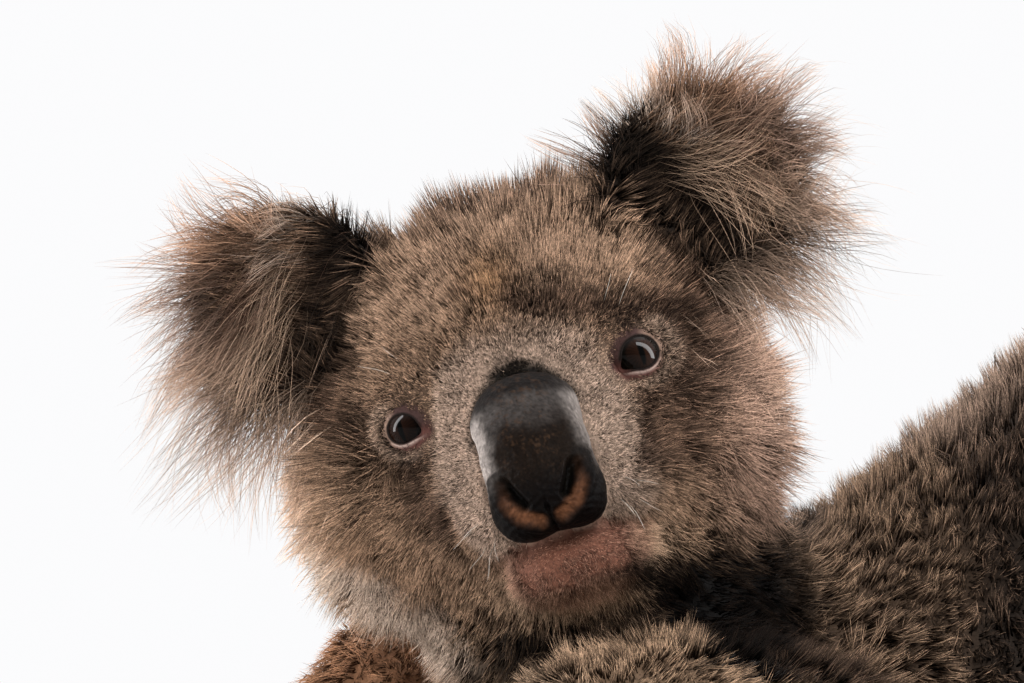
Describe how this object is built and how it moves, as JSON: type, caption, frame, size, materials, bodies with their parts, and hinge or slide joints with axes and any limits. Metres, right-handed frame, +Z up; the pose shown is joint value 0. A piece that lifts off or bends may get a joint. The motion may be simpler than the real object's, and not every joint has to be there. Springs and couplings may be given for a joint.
{
  "type": "koala figure",
  "caption": "Life-size still model of a koala sitting hunched on its haunches with both hands planted in front and its head turned over one shoulder.",
  "frame": {"origin": "on the floor, under the middle of the whole animal's bounding box", "axes": "+Z up, the trunk faces -Y, the animal's left side is +X; the head is turned towards +X"},
  "size_m": [0.3708, 0.5498, 0.385],
  "materials": {
    "face_fur": "dense grey-brown fur with pale tips",
    "chin_fur": "short cream fur over pink skin",
    "ear_fur": "long loose pale fur",
    "body_fur": "dense woolly grey-brown fur",
    "back_fur": "dense dark brown fur with pale tips",
    "nose": "fine pebbled leather, velvety at the top",
    "eyes": "wet and polished",
    "claws": "dark horn with a satin shine"
  },
  "bodies": {
    "root": {"back": "back_fur", "chest": "body_fur", "claw_foot_left_1": "claws", "claw_foot_left_2": "claws", "claw_foot_left_3": "claws", "claw_foot_left_4": "claws", "claw_foot_right_1": "claws", "claw_foot_right_2": "claws", "claw_foot_right_3": "claws", "claw_foot_right_4": "claws", "claw_hand_left_1": "claws", "claw_hand_left_2": "claws", "claw_hand_left_3": "claws", "claw_hand_left_4": "claws", "claw_hand_left_5": "claws", "claw_hand_right_1": "claws", "claw_hand_right_2": "claws", "claw_hand_right_3": "claws", "claw_hand_right_4": "claws", "claw_hand_right_5": "claws", "ear_left": "ear_fur", "ear_right": "ear_fur", "eye_left": "eyes", "eye_right": "eyes", "foot_left": "body_fur", "foot_right": "body_fur", "forearm_left": "body_fur", "forearm_right": "body_fur", "hand_left": "body_fur", "hand_right": "body_fur", "head": "face_fur", "lower_jaw": "chin_fur", "neck": "body_fur", "nose": "nose", "rump": "back_fur", "shank_left": "body_fur", "shank_right": "body_fur", "thigh_left": "body_fur", "thigh_right": "body_fur", "upper_arm_left": "body_fur", "upper_arm_right": "body_fur"}
  },
  "joints": []
}
